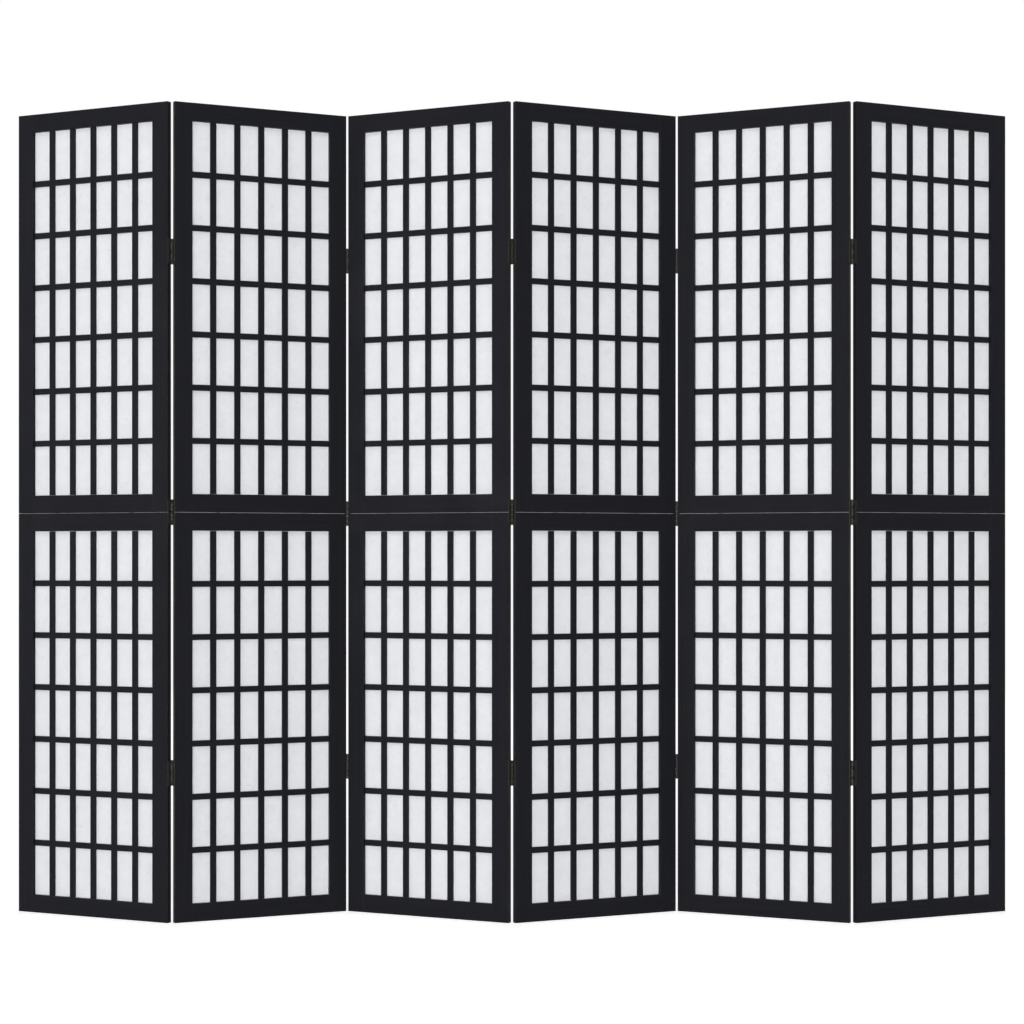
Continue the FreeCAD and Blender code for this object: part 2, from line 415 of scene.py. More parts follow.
@dataclass(frozen=True)
class EdgeWear(Effect):
    """Wear where hands and the next panel rub a corner, as far from it as the input Radius.

    Attributes:
        samples: How many rays look for a corner.
        corner_edges: How nearly the rounded surface faces as the flat one does, unworn and fully worn.
        rubbing: Uneven rubbing along the corners.
        rubbing_edges: Where in its pattern rubbing begins and where it is full.
    """

    name = "edge_wear"
    inputs = {"Radius": "Float", "Amount": "Float"}
    outputs = ("Wear",)
    samples: int = 6
    corner_edges: Span = (0.995, 0.86)
    rubbing: Pattern = Pattern(38.0, detail=5.0, roughness=0.65)
    rubbing_edges: Span = (0.42, 0.72)

    def draw(self, bench: Bench, given: bpy.types.NodeOutputs) -> Sequence[bpy.types.NodeSocket]:
        """Finds the corners and rubs them unevenly.

        Args:
            bench: The group's tree.
            given: The group's inputs by name.

        Returns:
            A socket for each output, in their order.
        """
        rounded = bench.add("Bevel", samples=self.samples)
        bench.feed(rounded.inputs["Radius"], given["Radius"])
        likeness = bench.vectors("DOT_PRODUCT", rounded.outputs[0], bench.facing()).outputs["Value"]
        corner = bench.remap(likeness, self.corner_edges)
        rubbed = bench.remap(bench.noise(bench.object_spot(), self.rubbing), self.rubbing_edges)
        return (bench.maths("MULTIPLY", bench.maths("MULTIPLY", corner, rubbed), given["Amount"]),)


@dataclass(frozen=True)
class SettledDust(Effect):
    """Thin dust on faces that look up.

    Attributes:
        upward_edges: Upward part of the facing direction where dust begins and where it is full.
        drift: Uneven patches of dust.
        drift_cover: How much dust lies where they are thinnest and where they are thickest.
    """

    name = "settled_dust"
    inputs = {"Amount": "Float"}
    outputs = ("Dust",)
    upward_edges: Span = (0.55, 0.95)
    drift: Pattern = Pattern(55.0, detail=6.0, roughness=0.7)
    drift_cover: Span = (0.35, 1.0)

    def draw(self, bench: Bench, given: bpy.types.NodeOutputs) -> Sequence[bpy.types.NodeSocket]:
        """Lets patchy dust settle.

        Args:
            bench: The group's tree.
            given: The group's inputs by name.

        Returns:
            A socket for each output, in their order.
        """
        split = bench.feed_all(bench.add("SeparateXYZ"), bench.facing())
        upward = bench.remap(split.outputs["Z"], self.upward_edges)
        patchy = bench.remap(bench.noise(bench.object_spot(), self.drift), USUAL_NOISE, self.drift_cover)
        return (bench.maths("MULTIPLY", bench.maths("MULTIPLY", upward, patchy), given["Amount"]),)


@dataclass(frozen=True)
class Strand:
    """One kind of bark fibre in paper.

    Attributes:
        scale: Fibres per metre.
        width: Half a fibre's width, in the values of its pattern.
        shift: How far its pattern is moved away from those of the other kinds.
        course: The pattern whose middle value a fibre follows, for one fibre per metre.
        middle: That value.
        breaks: The pattern that breaks fibres up, for one fibre per metre.
        break_edges: Where in that pattern a fibre ends and where it is whole.
    """

    scale: float
    width: float
    shift: float
    course: Pattern = Pattern(1.0, detail=1.5, roughness=0.45, distortion=0.6)
    middle: float = 0.5
    breaks: Pattern = Pattern(2.3, detail=1.0)
    break_edges: Span = (0.5, 0.62)

    def draw(self, bench: Bench, spot: bpy.types.NodeSocket) -> bpy.types.NodeSocket:
        """Draws fibres of this kind.

        Args:
            bench: The tree to add to.
            spot: The coordinates to read.

        Returns:
            The socket of a value that is 1 on a fibre and 0 away from it.
        """
        moved = bench.vectors("ADD", spot, (self.shift, -self.shift, self.shift / 2)).outputs[0]
        line = bench.noise(moved, self.course.finer(self.scale))
        away = bench.maths("ABSOLUTE", bench.maths("SUBTRACT", line, self.middle))
        near = bench.remap(away, (self.width, 0.0))
        whole = bench.remap(bench.noise(moved, self.breaks.finer(self.scale)), self.break_edges)
        return bench.maths("MULTIPLY", near, whole)


@dataclass(frozen=True)
class PaperFibres(Effect):
    """Long bark fibres and thin clouds in hand-laid paper.

    Attributes:
        strands: The kinds of fibre.
        clouds: Thicker and thinner places of the sheet.
        tooth: Fine roughness of the sheet.
        strand_height: Height of the fibres, where that of the clouds is 1.
        tooth_height: Height of the fine roughness, where that of the clouds is 1.
    """

    name = "paper_fibres"
    inputs = {"Turn": "Float"}
    outputs = ("Fibres", "Clouds", "Height")
    strands: Sequence[Strand] = (
        Strand(scale=26.0, width=0.010, shift=0.0),
        Strand(scale=41.0, width=0.013, shift=3.7),
        Strand(scale=67.0, width=0.017, shift=8.1),
    )
    clouds: Pattern = Pattern(34.0, detail=7.0, roughness=0.68)
    tooth: Pattern = Pattern(1500.0)
    strand_height: float = 0.6
    tooth_height: float = 0.3

    def draw(self, bench: Bench, given: bpy.types.NodeOutputs) -> Sequence[bpy.types.NodeSocket]:
        """Draws fibres, clouds and the sheet's roughness.

        Args:
            bench: The group's tree.
            given: The group's inputs by name.

        Returns:
            A socket for each output, in their order.
        """
        spot = bench.panel_spot(given["Turn"])
        fibres, *others = [strand.draw(bench, spot) for strand in self.strands]
        for other in others:
            fibres = bench.maths("MAXIMUM", fibres, other)
        clouds = bench.noise(spot, self.clouds)
        raised = bench.maths("MULTIPLY_ADD", fibres, self.strand_height, clouds)
        height = bench.maths("MULTIPLY_ADD", bench.noise(spot, self.tooth), self.tooth_height, raised)
        return fibres, clouds, height


@dataclass(frozen=True)
class MetalPatina(Effect):
    """Uneven darkening of small metal fittings, with patches per metre in the input Scale.

    Attributes:
        patches: Patches of darker and lighter metal.
        patch_edges: Where in their pattern the metal is darkest and where it is lightest.
        pits: Fine pits, finer than the patches.
    """

    name = "metal_patina"
    inputs = {"Scale": "Float"}
    outputs = ("Patches", "Pits")
    patches: Pattern = Pattern(1.0, detail=6.0, roughness=0.66)
    patch_edges: Span = (0.34, 0.68)
    pits: Pattern = Pattern(9.0, detail=3.0)

    def draw(self, bench: Bench, given: bpy.types.NodeOutputs) -> Sequence[bpy.types.NodeSocket]:
        """Draws patches and pits.

        Args:
            bench: The group's tree.
            given: The group's inputs by name.

        Returns:
            A socket for each output, in their order.
        """
        sized = bench.vectors("SCALE", bench.object_spot())
        bench.feed(sized.inputs["Scale"], given["Scale"])
        patches = bench.remap(bench.noise(sized.outputs[0], self.patches), self.patch_edges)
        return patches, bench.noise(sized.outputs[0], self.pits)


@dataclass(frozen=True)
class Relief:
    """Fine relief of a surface.

    Attributes:
        strength: How strongly it shows, from 0 to 1.
        depth: From its lowest to its highest point.
    """

    strength: float
    depth: float

    def lay(self, bench: Bench, shader: bpy.types.Node, height: bpy.types.NodeSocket) -> None:
        """Gives a shader the relief.

        Args:
            bench: The material's tree.
            shader: The material's shader.
            height: A height pattern, from 0 to 1.
        """
        bump = bench.add("Bump")
        bump.inputs["Strength"].default_value = self.strength
        bump.inputs["Distance"].default_value = self.depth
        bench.feed(bump.inputs["Height"], height)
        bench.feed(shader.inputs["Normal"], bump.outputs[0])


@dataclass(frozen=True)
class Finish:
    """What every finish of the screen has.

    Attributes:
        name: The material's name.
    """

    name: str

    def material(self) -> bpy.types.Material:
        """Makes the finish's material.

        Returns:
            The new material.
        """
        made = bpy.data.materials.new(self.name)
        bench = Bench.cleared(made)
        shader = bench.add("BsdfPrincipled")
        bench.feed(bench.add("OutputMaterial").inputs["Surface"], shader.outputs[0])
        self.dress(bench, shader)
        LOG.info("finish %s", self.name)
        return made

    def dress(self, bench: Bench, shader: bpy.types.Node) -> None:
        """Gives the shader its patterns; each finish has its own."""
        raise NotImplementedError


@dataclass(frozen=True)
class LacquerFinish(Finish):
    """Satin black lacquer over the fine-grained timber of the frames.

    Attributes:
        grain: Which way the timber's grain runs.
        turn: The panel's turn about the upright axis, in radians.
        coat: Colour of a full coat.
        thin_coat: Colour where the coat lies thin over the grain.
        thin_edges: Where in the streaks the coat is full and where it is thin.
        bare: Colour of the primer that shows on rubbed corners.
        dust: Colour of settled dust.
        sheen: Roughness of the smoothest and of the dullest patches.
        dulling: Roughness that full wear or dust adds.
        gloss: Strength of the reflection.
        grain_length: Grain features per metre along the stick.
        grain_width: Grain features per metre across the stick.
        wear_radius: How far from a corner wear reaches.
        wear_amount: How much of the coat wear takes there.
        dust_amount: How much of the coat dust covers on top.
        relief: Relief of the grain.
    """

    grain: GrainRun = GrainRun.UPRIGHT
    turn: float = 0.0
    coat: Colour = (0.0048, 0.0052, 0.0079)
    thin_coat: Colour = (0.0074, 0.0077, 0.0108)
    thin_edges: Span = (0.38, 0.68)
    bare: Colour = (0.060, 0.055, 0.050)
    dust: Colour = (0.16, 0.155, 0.15)
    sheen: Span = (0.36, 0.52)
    dulling: float = 0.25
    gloss: float = 0.10
    grain_length: float = 3.2
    grain_width: float = 210.0
    wear_radius: float = 0.0016
    wear_amount: float = 0.55
    dust_amount: float = 0.10
    relief: Relief = Relief(strength=0.35, depth=0.00006)

    def dress(self, bench: Bench, shader: bpy.types.Node) -> None:
        """Lays grain, rubbed corners, dust and uneven sheen into the lacquer.

        Args:
            bench: The material's tree.
            shader: The material's shader.
        """
        wide, long = self.grain_width, self.grain_length
        stretch = (wide, wide, long) if self.grain is GrainRun.UPRIGHT else (long, wide, wide)
        grain = bench.place(TimberGrain(), turn=self.turn, stretch=stretch)
        wear = bench.place(EdgeWear(), radius=self.wear_radius, amount=self.wear_amount)["Wear"]
        dust = bench.place(SettledDust(), amount=self.dust_amount)["Dust"]
        coat = bench.blend(bench.remap(grain["Streaks"], self.thin_edges), self.coat, self.thin_coat)
        rubbed = bench.blend(wear, coat, self.bare)
        bench.feed(shader.inputs["Base Color"], bench.blend(dust, rubbed, self.dust))
        sheen = bench.remap(grain["Mottle"], USUAL_NOISE, self.sheen)
        dulled = bench.maths("MULTIPLY_ADD", bench.maths("MAXIMUM", wear, dust), self.dulling, sheen)
        bench.feed(shader.inputs["Roughness"], dulled)
        self.relief.lay(bench, shader, grain["Height"])
        shader.inputs["Specular IOR Level"].default_value = self.gloss


@dataclass(frozen=True)
class BarLacquerFinish(LacquerFinish):
    """The same lacquer over the finer timber of the bars."""

    grain_length: float = 4.5
    grain_width: float = 320.0


@dataclass(frozen=True)
class PaperFinish(Finish):
    """White hand-laid paper with long fibres.

    Attributes:
        turn: The panel's turn about the upright axis, in radians.
        sheet: Colour of the sheet where it is thin.
        thick: Colour of thicker clouds.
        thick_edges: Where in the clouds the sheet is thin and where it is thick.
        fibre: Colour of the fibres.
        fibre_share: How much of that colour a fibre shows.
        dullness: Roughness of the sheet where it is thin and where it is thick.
        gloss: Strength of the reflection.
        glow: Share of the light that spreads inside the sheet.
        glow_reach: How far it spreads.
        relief: Relief of fibres and clouds.
    """

    turn: float = 0.0
    sheet: Colour = (0.778, 0.792, 0.812)
    thick: Colour = (0.825, 0.832, 0.850)
    thick_edges: Span = (0.32, 0.68)
    fibre: Colour = (0.69, 0.69, 0.685)
    fibre_share: float = 0.55
    dullness: Span = (0.94, 0.80)
    gloss: float = 0.15
    glow: float = 0.6
    glow_reach: float = 0.0004
    relief: Relief = Relief(strength=0.30, depth=0.00008)

    def dress(self, bench: Bench, shader: bpy.types.Node) -> None:
        """Lays clouds and fibres into the sheet and lets some light through.

        Args:
            bench: The material's tree.
            shader: The material's shader.
        """
        pulp = bench.place(PaperFibres(), turn=self.turn)
        sheet = bench.blend(bench.remap(pulp["Clouds"], self.thick_edges), self.sheet, self.thick)
        strand = bench.maths("MULTIPLY", pulp["Fibres"], self.fibre_share)
        bench.feed(shader.inputs["Base Color"], bench.blend(strand, sheet, self.fibre))
        bench.feed(shader.inputs["Roughness"], bench.remap(pulp["Clouds"], USUAL_NOISE, self.dullness))
        self.relief.lay(bench, shader, pulp["Height"])
        shader.inputs["Specular IOR Level"].default_value = self.gloss
        shader.inputs["Subsurface Weight"].default_value = self.glow
        shader.inputs["Subsurface Radius"].default_value = WHITE
        shader.inputs["Subsurface Scale"].default_value = self.glow_reach


@dataclass(frozen=True)
class MetalFinish(Finish):
    """Darkened bronze of the hinge leaves.

    Attributes:
        dark: Colour of the darkened metal.
        warm: Colour of lighter patches.
        rubbed: Colour where corners are rubbed bright.
        dullness: Roughness of the darkest and of the lightest patches.
        patch_scale: Patches per metre.
        bare_share: How much of it is bare metal rather than patina.
        wear_radius: How far from a corner wear reaches.
        wear_amount: How much of the patina wear takes there.
        relief: Relief of the pits.
    """

    dark: Colour = (0.026, 0.0255, 0.0200)
    warm: Colour = (0.042, 0.0395, 0.0310)
    rubbed: Colour = (0.105, 0.088, 0.060)
    dullness: Span = (0.66, 0.48)
    patch_scale: float = 160.0
    bare_share: float = 0.55
    wear_radius: float = 0.0007
    wear_amount: float = 0.5
    relief: Relief = Relief(strength=0.25, depth=0.00004)

    def dress(self, bench: Bench, shader: bpy.types.Node) -> None:
        """Lays patina, pits and rubbed corners into the metal.

        Args:
            bench: The material's tree.
            shader: The material's shader.
        """
        patina = bench.place(MetalPatina(), scale=self.patch_scale)
        wear = bench.place(EdgeWear(), radius=self.wear_radius, amount=self.wear_amount)["Wear"]
        aged = bench.blend(patina["Patches"], self.dark, self.warm)
        bench.feed(shader.inputs["Base Color"], bench.blend(wear, aged, self.rubbed))
        bench.feed(shader.inputs["Roughness"], bench.remap(patina["Patches"], (0.0, 1.0), self.dullness))
        self.relief.lay(bench, shader, patina["Pits"])
        shader.inputs["Metallic"].default_value = self.bare_share


@dataclass(frozen=True)
class PinFinish(MetalFinish):
    """Darkened steel of the hinge pins."""

    dark: Colour = (0.040, 0.038, 0.034)
    warm: Colour = (0.075, 0.070, 0.062)
    rubbed: Colour = (0.26, 0.25, 0.23)
    dullness: Span = (0.45, 0.28)
    patch_scale: float = 240.0


@dataclass(frozen=True)
class ScrewFinish(MetalFinish):
    """Darkened steel of the hinge screws."""

    dark: Colour = (0.045, 0.042, 0.037)
    warm: Colour = (0.085, 0.078, 0.066)
    rubbed: Colour = (0.28, 0.26, 0.22)
    dullness: Span = (0.48, 0.30)
    patch_scale: float = 300.0


@dataclass(frozen=True)
class DowelFinish(Finish):
    """Raw pale hardwood, turned along its grain.

    Attributes:
        early: Colour of the pale wood.
        late: Colour of the darker streaks.
        late_edges: Where in the streaks the wood is pale and where it is dark.
        dullness: Roughness of the smoothest and of the dullest patches.
        grain_length: Grain features per metre along the dowel.
        grain_width: Grain features per metre across the dowel.
        relief: Relief of the grain.
    """

    early: Colour = (0.60, 0.42, 0.26)
    late: Colour = (0.43, 0.27, 0.15)
    late_edges: Span = (0.35, 0.65)
    dullness: Span = (0.62, 0.78)
    grain_length: float = 22.0
    grain_width: float = 900.0
    relief: Relief = Relief(strength=0.4, depth=0.00008)

    def dress(self, bench: Bench, shader: bpy.types.Node) -> None:
        """Lays upright grain into the wood.

        Args:
            bench: The material's tree.
            shader: The material's shader.
        """
        stretch = (self.grain_width, self.grain_width, self.grain_length)
        grain = bench.place(TimberGrain(), turn=0.0, stretch=stretch)
        streaks = bench.remap(grain["Streaks"], self.late_edges)
        bench.feed(shader.inputs["Base Color"], bench.blend(streaks, self.early, self.late))
        bench.feed(shader.inputs["Roughness"], bench.remap(grain["Mottle"], USUAL_NOISE, self.dullness))
        self.relief.lay(bench, shader, grain["Height"])


@dataclass
class Finishes:
    """The screen's materials, one of each.

    Attributes:
        turn: How far each panel is turned out of the straight line, in radians.
    """

    turn: float
    frame_upright: bpy.types.Material = field(init=False)
    frame_across: dict[Lean, bpy.types.Material] = field(init=False, default_factory=dict)
    lattice_upright: bpy.types.Material = field(init=False)
    lattice_across: dict[Lean, bpy.types.Material] = field(init=False, default_factory=dict)
    paper: dict[Lean, bpy.types.Material] = field(init=False, default_factory=dict)
    bronze: bpy.types.Material = field(init=False)
    pin_metal: bpy.types.Material = field(init=False)
    screw_metal: bpy.types.Material = field(init=False)
    dowel_wood: bpy.types.Material = field(init=False)

    def mix(self) -> None:
        """Makes every material."""
        self.frame_upright = LacquerFinish("frame_lacquer_upright").material()
        self.lattice_upright = BarLacquerFinish("lattice_lacquer_upright").material()
        for lean in Lean:
            side, turn = lean.name.lower(), lean.value * self.turn
            self.frame_across[lean] = LacquerFinish(
                f"frame_lacquer_across_{side}", GrainRun.ACROSS, turn).material()
            self.lattice_across[lean] = BarLacquerFinish(
                f"lattice_lacquer_across_{side}", GrainRun.ACROSS, turn).material()
            self.paper[lean] = PaperFinish(f"laid_paper_{side}", turn).material()
        self.bronze = MetalFinish("antique_bronze").material()
        self.pin_metal = PinFinish("dark_pin_steel").material()
        self.screw_metal = ScrewFinish("dark_screw_steel").material()
        self.dowel_wood = DowelFinish("raw_dowel_wood").material()


@dataclass
class PaperSheet:
    """The pattern from which every sheet of paper is copied.

    The sheet is modelled standing, its middle at the origin and its front towards -Y. Cells are the
    fields of paper between the bars, given by their two ends from the sheet's middle.

    Attributes:
        width: Cut width.
        length: Cut length.
        thickness: Thickness of the paper.
        cells_across: The cells between upright bars.
        cells_up: The cells between cross bars.
        slack: How far the paper gives between the bars, at most.
        fullness: Power of its swell; below 1 the paper rises steeply beside the bars.
        cockle_size: Size of its cockles.
        steps_across: Strips in a cell's width.
        steps_up: Strips in a cell's height.
        smooth_angle: Corners up to this angle are shaded smooth, in radians.
    """

    width: float
    length: float
    thickness: float
    cells_across: Sequence[Span]
    cells_up: Sequence[Span]
    slack: float = 0.0006
    fullness: float = 0.6
    cockle_size: float = 0.045
    steps_across: int = 5
    steps_up: int = 10
    smooth_angle: float = math.radians(30.0)
    pattern: Optional[bpy.types.Object] = field(init=False, default=None)
    cockle: Optional[bpy.types.Texture] = field(init=False, default=None)

    @staticmethod
    def cuts(cells: Sequence[Span], steps: int) -> Iterator[float]:
        """Lines along which the sheet is divided, so that each cell has even strips.

        Args:
            cells: Both ends of each cell.
            steps: Strips in a cell.

        Yields:
            The place of each line.
        """
        for low, high in cells:
            for step in range(steps + 1):
                yield low + (high - low) * step / steps

    def build(self) -> None:
        """Models the pattern: a plane, divided along the bars and inside the cells."""
        deselect_all()
        bpy.ops.mesh.primitive_plane_add(size=1.0, rotation=(math.pi / 2, 0.0, 0.0))
        self.pattern = bpy.context.object
        self.pattern.name = "paper_pattern"
        self.pattern.scale = (self.width, self.length, 1.0)
        bpy.ops.object.transform_apply(location=True, rotation=True, scale=True)
        bpy.ops.object.mode_set(mode="EDIT")
        for place in self.cuts(self.cells_across, self.steps_across):
            self.divide(Vector((place, 0.0, 0.0)), Vector((1.0, 0.0, 0.0)))
        for place in self.cuts(self.cells_up, self.steps_up):
            self.divide(Vector((0.0, 0.0, place)), Vector((0.0, 0.0, 1.0)))
        bpy.ops.object.mode_set(mode="OBJECT")
        self.mark_slack()
        self.cockle = bpy.data.textures.new("paper_cockle", "CLOUDS")
        self.cockle.noise_scale = self.cockle_size
        self.cockle.noise_depth = 1
        LOG.info("paper pattern: %d faces", len(self.pattern.data.polygons))

    @staticmethod
    def divide(place: Vector, across: Vector) -> None:
        """Cuts a line across the whole sheet, in edit mode, by a point on it and the direction across it."""
        bpy.ops.mesh.select_all(action="SELECT")
        bpy.ops.mesh.bisect(plane_co=place, plane_no=across)

    def mark_slack(self) -> None:
        """Marks how freely each point of the pattern can move: fully in the middle of a cell."""
        group = self.pattern.vertex_groups.new(name="slack")
        for point in self.pattern.data.vertices:
            share = self.swell(point.co.x, self.cells_across) * self.swell(point.co.z, self.cells_up)
            group.add([point.index], share, "REPLACE")

    def swell(self, place: float, cells: Sequence[Span]) -> float:
        """How far a place is from the bars.

        Args:
            place: The place along one axis.
            cells: Both ends of each cell on that axis.

        Returns:
            0 on a bar or outside the opening, and 1 in the middle of a cell.
        """
        for low, high in cells:
            if low < place < high:
                return math.sin(math.pi * (place - low) / (high - low)) ** self.fullness
        return 0.0

    def copy(self, name: str, place: Matrix) -> bpy.types.Object:
        """Makes one sheet from the pattern, with its own cockle and its thickness.

        Args:
            name: The sheet's name.
            place: Where its front middle is, and how it is turned.

        Returns:
            The finished sheet, at the origin with its place in its mesh.
        """
        sheet = self.pattern.copy()
        sheet.data = self.pattern.data.copy()
        sheet.name = sheet.data.name = name
        bpy.context.scene.collection.objects.link(sheet)
        sheet.matrix_world = place
        take_up(sheet)
        bpy.ops.object.transform_apply(location=True, rotation=True, scale=True)
        give = sheet.modifiers.new("give", "DISPLACE")
        give.texture = self.cockle
        give.texture_coords = "LOCAL"
        give.vertex_group = "slack"
        give.strength = self.slack
        give.mid_level = 1.0
        stock = sheet.modifiers.new("stock", "SOLIDIFY")
        stock.thickness = self.thickness
        stock.offset = -1.0
        for step in (give.name, stock.name):
            bpy.ops.object.modifier_apply(modifier=step)
        sheet.vertex_groups.clear()
        bpy.ops.object.shade_smooth_by_angle(angle=self.smooth_angle)
        return sheet

    def put_away(self) -> None:
        """Removes the pattern once every sheet is copied."""
        mesh = self.pattern.data
        bpy.data.objects.remove(self.pattern)
        bpy.data.meshes.remove(mesh)
        self.pattern = None


@dataclass
class Panel:
    """One panel: two joined frames with their lattice, paper and beads.

    Attributes:
        number: The panel's number, counted from the left.
        turn: How far it is turned out of the straight line, in radians.
    """

    number: int
    turn: float
    sheets: dict[Half, bpy.types.Object] = field(init=False, default_factory=dict)

    @property
    def body(self) -> str:
        """The body that the panel's pieces ride on."""
        return f"panel_{self.number}"

    @property
    def lean(self) -> Lean:
        """Which way the panel faces."""
        return Lean.LEFT if self.number % 2 else Lean.RIGHT

    @property
    def turned(self) -> Matrix:
        """The panel's turn out of the straight line."""
        return Matrix.Rotation(self.lean.value * self.turn, 4, "Z")

    def node(self, kind: str) -> str:
        """The name of one of the panel's nodes."""
        return f"{self.body}_{kind}"

    def faces(self, kind: str) -> list[list[float]]:
        """Measures one of the panel's nodes, as if the panel stood in the straight line.

        Args:
            kind: What the node's pieces are.

        Returns:
            The places of its faces along the panel, through it and up it.
        """
        straight = self.turned.inverted()
        points = [straight @ point.co for point in frame["nodes"][self.node(kind)].data.vertices]
        return [distinct(places) for places in zip(*points)]

    def measure_sheet(self) -> PaperSheet:
        """Takes the sizes of a sheet and of its cells from the solids of the panel's lower frame.

        Returns:
            The sheet, not yet built.
        """
        along, through, (bottom, top, *_) = self.faces("papers")
        (_, left, *_, right, _), _, (_, sill, head, *_) = self.faces("paper_beads")
        bars_across, _, _ = self.faces("upright_bars")
        _, _, bars_up = self.faces("cross_bars")
        lower_bars_up = [place for place in bars_up if place < top]
        return PaperSheet(
            width=round(along[-1] - along[0], MICROMETRE_DIGITS),
            length=round(top - bottom, MICROMETRE_DIGITS),
            thickness=round(through[-1] - through[0], MICROMETRE_DIGITS),
            cells_across=self.cells([left, *bars_across, right], (along[0] + along[-1]) / 2),
            cells_up=self.cells([sill, *lower_bars_up, head], (bottom + top) / 2),
        )

    @staticmethod
    def cells(edges: Sequence[float], middle: float) -> list[Span]:
        """Pairs the edges of an opening and of its bars, in their order, into cells from a middle."""
        return [(low - middle, high - middle) for low, high in zip(edges[::2], edges[1::2])]

    def build(self, pattern: PaperSheet) -> None:
        """Makes the panel's two sheets of paper in place of their solids.

        Args:
            pattern: The sheet that they are copied from.
        """
        low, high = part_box(self.node("papers"))
        front = self.turned @ Vector((0.0, -pattern.thickness / 2, 0.0))
        middle = (low + high) / 2 + front
        heights = {Half.LOWER: low.z + pattern.length / 2, Half.UPPER: high.z - pattern.length / 2}
        for half, height in heights.items():
            place = Matrix.Translation((middle.x, middle.y, height)) @ self.turned
            sheet = pattern.copy(self.node(f"paper_{half.value}"), place)
            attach(sheet, self.body)
            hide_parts(self.node("papers"))
            self.sheets[half] = sheet
            LOG.info("%s: sheet %.0f x %.0f mm", sheet.name,
                     pattern.width * MILLIMETRES_PER_METRE, pattern.length * MILLIMETRES_PER_METRE)

    def dress(self, finishes: Finishes) -> None:
        """Gives every piece of the panel its material.

        Args:
            finishes: The screen's materials.
        """
        coats = {
            "stiles": finishes.frame_upright,
            "rails": finishes.frame_across[self.lean],
            "upright_bars": finishes.lattice_upright,
            "cross_bars": finishes.lattice_across[self.lean],
            "paper_beads": finishes.frame_upright,
            "dowels": finishes.dowel_wood,
            "hinge_leaves": finishes.bronze,
            "hinge_screws": finishes.screw_metal,
        }
        for kind, coat in coats.items():
            paint(frame["nodes"][self.node(kind)], coat)
        for sheet in self.sheets.values():
            paint(sheet, finishes.paper[self.lean])


@dataclass
class Fold:
    """The hinge pins between two panels.

    Attributes:
        name: The name of the fold's joint.
    """

    name: str

    def dress(self, finishes: Finishes) -> None:
        """Gives the pins their metal."""
        paint(frame["nodes"][f"{self.name}_hinge_pins"], finishes.pin_metal)


@dataclass
class FoldingScreen:
    """The whole screen, with the panels and folds that the frame has.

    Attributes:
        turn: How far each panel is turned out of the straight line, in radians.
        panels: The panels, from the left.
        folds: The folds between them.
    """

    turn: float = field(init=False)
    panels: list[Panel] = field(init=False)
    folds: list[Fold] = field(init=False)

    def __post_init__(self) -> None:
        """Finds the panels and folds; a fold lies flat at its lower limit, two turns away from rest."""
        flat, _ = frame["joints"][0]["range_deg"]
        self.turn = math.radians(-flat / 2)
        self.panels = [Panel(number, self.turn) for number in range(1, len(frame["bodies"]) + 1)]
        self.folds = [Fold(joint["name"]) for joint in frame["joints"]]

    def build(self) -> None:
        """Builds and dresses every panel and fold."""
        finishes = Finishes(self.turn)
        finishes.mix()
        pattern = self.panels[0].measure_sheet()
        pattern.build()
        for panel in self.panels:
            panel.build(pattern)
            panel.dress(finishes)
        pattern.put_away()
        for fold in self.folds:
            fold.dress(finishes)


@dataclass(frozen=True)
class SoftBox:
    """A large soft lamp.

    Attributes:
        name: The lamp's name.
        place: Where it hangs.
        width: Its width.
        height: Its height.
        power: Its power in watts.
        aim: The point that it faces.
    """

    name: str
    place: Point
    width: float
    height: float
    power: float
    aim: Point = (0.0, 0.0, 0.9)

    def hang(self) -> None:
        """Adds the lamp to the scene."""
        lamp = bpy.data.lights.new(self.name, "AREA")
        lamp.shape = "RECTANGLE"
        lamp.size, lamp.size_y = self.width, self.height
        lamp.energy = self.power
        hung = bpy.data.objects.new(self.name, lamp)
        hung.location = self.place
        away = Vector(self.aim) - Vector(self.place)
        hung.rotation_euler = away.to_track_quat("-Z", "Y").to_euler()
        bpy.context.scene.collection.objects.link(hung)
        LOG.info("lamp %s", self.name)


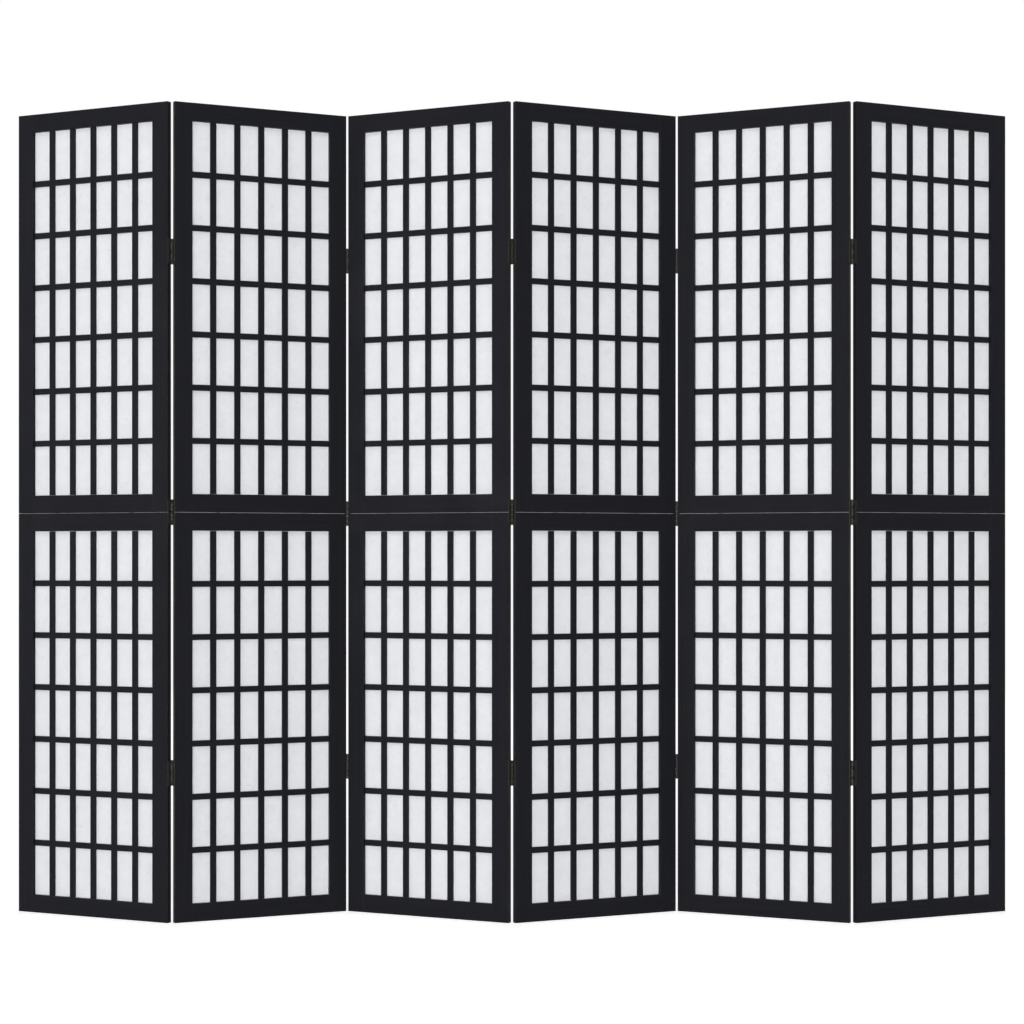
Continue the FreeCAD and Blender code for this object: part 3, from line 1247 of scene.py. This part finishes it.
@dataclass
class Studio:
    """Floor, lamps, surrounding light and camera.

    Attributes:
        floor_size: Side of the square floor.
        floor_colour: Colour of the floor.
        floor_lift: How much white the floor adds near the screen, where it is seen directly.
        shadow_reach: How far from the screen the floor starts to turn plain white.
        white_reach: How far from the screen it is plain white.
        surround: Strength of the light from all round.
        lens: Focal length in millimetres.
        sensor: Width of the camera's sensor in millimetres.
        camera_place: Where the camera stands.
        camera_rise: Vertical shift of the frame.
        camera_reach: How far the camera sees.
        lamps: The soft boxes.
    """

    floor_size: float = 60.0
    floor_colour: Colour = (0.92, 0.92, 0.92)
    floor_lift: float = 0.64
    shadow_reach: float = 3.0
    white_reach: float = 9.0
    surround: float = 0.22
    lens: float = 78.245
    sensor: float = 36.0
    camera_place: Point = (0.0, -4.9622, 0.8009)
    camera_rise: float = 0.04435
    camera_reach: float = 200.0
    lamps: Sequence[SoftBox] = (
        SoftBox("key", place=(0.0, -13.0, 0.7), width=3.5, height=1.2, power=855.0),
        SoftBox("side", place=(-12.7, -10.0, 1.8), width=8.0, height=3.4, power=262.0),
        SoftBox("back", place=(2.0, 13.0, 2.4), width=5.0, height=2.0, power=800.0),
        SoftBox("overhead", place=(-1.6, -22.0, 21.0), width=12.5, height=12.5, power=1850.0),
    )

    def build(self) -> None:
        """Lays the floor, hangs the lamps, lights the surround and sets up the camera."""
        self.lay_floor()
        for lamp in self.lamps:
            lamp.hang()
        self.light_surround()
        self.set_camera()
        bpy.context.scene.view_settings.view_transform = "Standard"

    @staticmethod
    def seen_directly(bench: Bench) -> bpy.types.NodeSocket:
        """A value of 1 for rays from the camera, off metal or through glass.

        Args:
            bench: The tree to add to.

        Returns:
            The value's socket.
        """
        path = bench.add("LightPath").outputs
        mirrored = bench.maths("MAXIMUM", path["Is Glossy Ray"], path["Is Transmission Ray"])
        return bench.maths("MAXIMUM", path["Is Camera Ray"], mirrored)

    def lay_floor(self) -> None:
        """Lays a plain pale floor that keeps the screen's shadow."""
        deselect_all()
        bpy.ops.mesh.primitive_plane_add(size=self.floor_size)
        floor = bpy.context.object
        floor.name = "studio_floor"
        paint(floor, self.floor_paint())

    def floor_paint(self) -> bpy.types.Material:
        """Makes the floor's material, dull and pale near the screen and plain white far from it.

        Returns:
            The new material.
        """
        made = bpy.data.materials.new("pale_floor")
        bench = Bench.cleared(made)
        near, white = bench.add("BsdfPrincipled"), bench.add("Emission")
        near.inputs["Base Color"].default_value = (*self.floor_colour, 1.0)
        near.inputs["Roughness"].default_value = 1.0
        near.inputs["Specular IOR Level"].default_value = 0.0
        near.inputs["Emission Color"].default_value = (*WHITE, 1.0)
        seen = self.seen_directly(bench)
        bench.feed(near.inputs["Emission Strength"], bench.maths("MULTIPLY", seen, self.floor_lift))
        away = bench.vectors("LENGTH", bench.object_spot()).outputs["Value"]
        far = bench.remap(away, (self.shadow_reach, self.white_reach))
        mixed = bench.choose(bench.maths("MULTIPLY", seen, far), near, white)
        bench.feed(bench.add("OutputMaterial").inputs["Surface"], mixed)
        return made

    def light_surround(self) -> None:
        """Lights the scene evenly from all round, with white where it is seen directly."""
        world = bpy.data.worlds.new("pale_surround")
        bpy.context.scene.world = world
        bench = Bench.cleared(world)
        glow, white = bench.add("Background"), bench.add("Background")
        for light, strength in ((glow, self.surround), (white, 1.0)):
            light.inputs["Strength"].default_value = strength
            light.inputs["Color"].default_value = (*WHITE, 1.0)
        mixed = bench.choose(self.seen_directly(bench), glow, white)
        bench.feed(bench.add("OutputWorld").inputs["Surface"], mixed)
        LOG.info("surround lit")

    def set_camera(self) -> None:
        """Stands a level camera in front of the screen."""
        eye = bpy.data.cameras.new("front_camera")
        eye.lens = self.lens
        eye.sensor_width = self.sensor
        eye.shift_y = self.camera_rise
        eye.clip_end = self.camera_reach
        stand = bpy.data.objects.new("front_camera", eye)
        stand.location = self.camera_place
        stand.rotation_euler = (math.pi / 2, 0.0, 0.0)
        bpy.context.scene.collection.objects.link(stand)
        bpy.context.scene.camera = stand
        LOG.info("camera set")


def main() -> None:
    """Builds the screen, then the studio round it."""
    logging.basicConfig(level=logging.INFO, format="%(name)s: %(message)s")
    FoldingScreen().build()
    Studio().build()


if __name__ == "__main__":
    main()
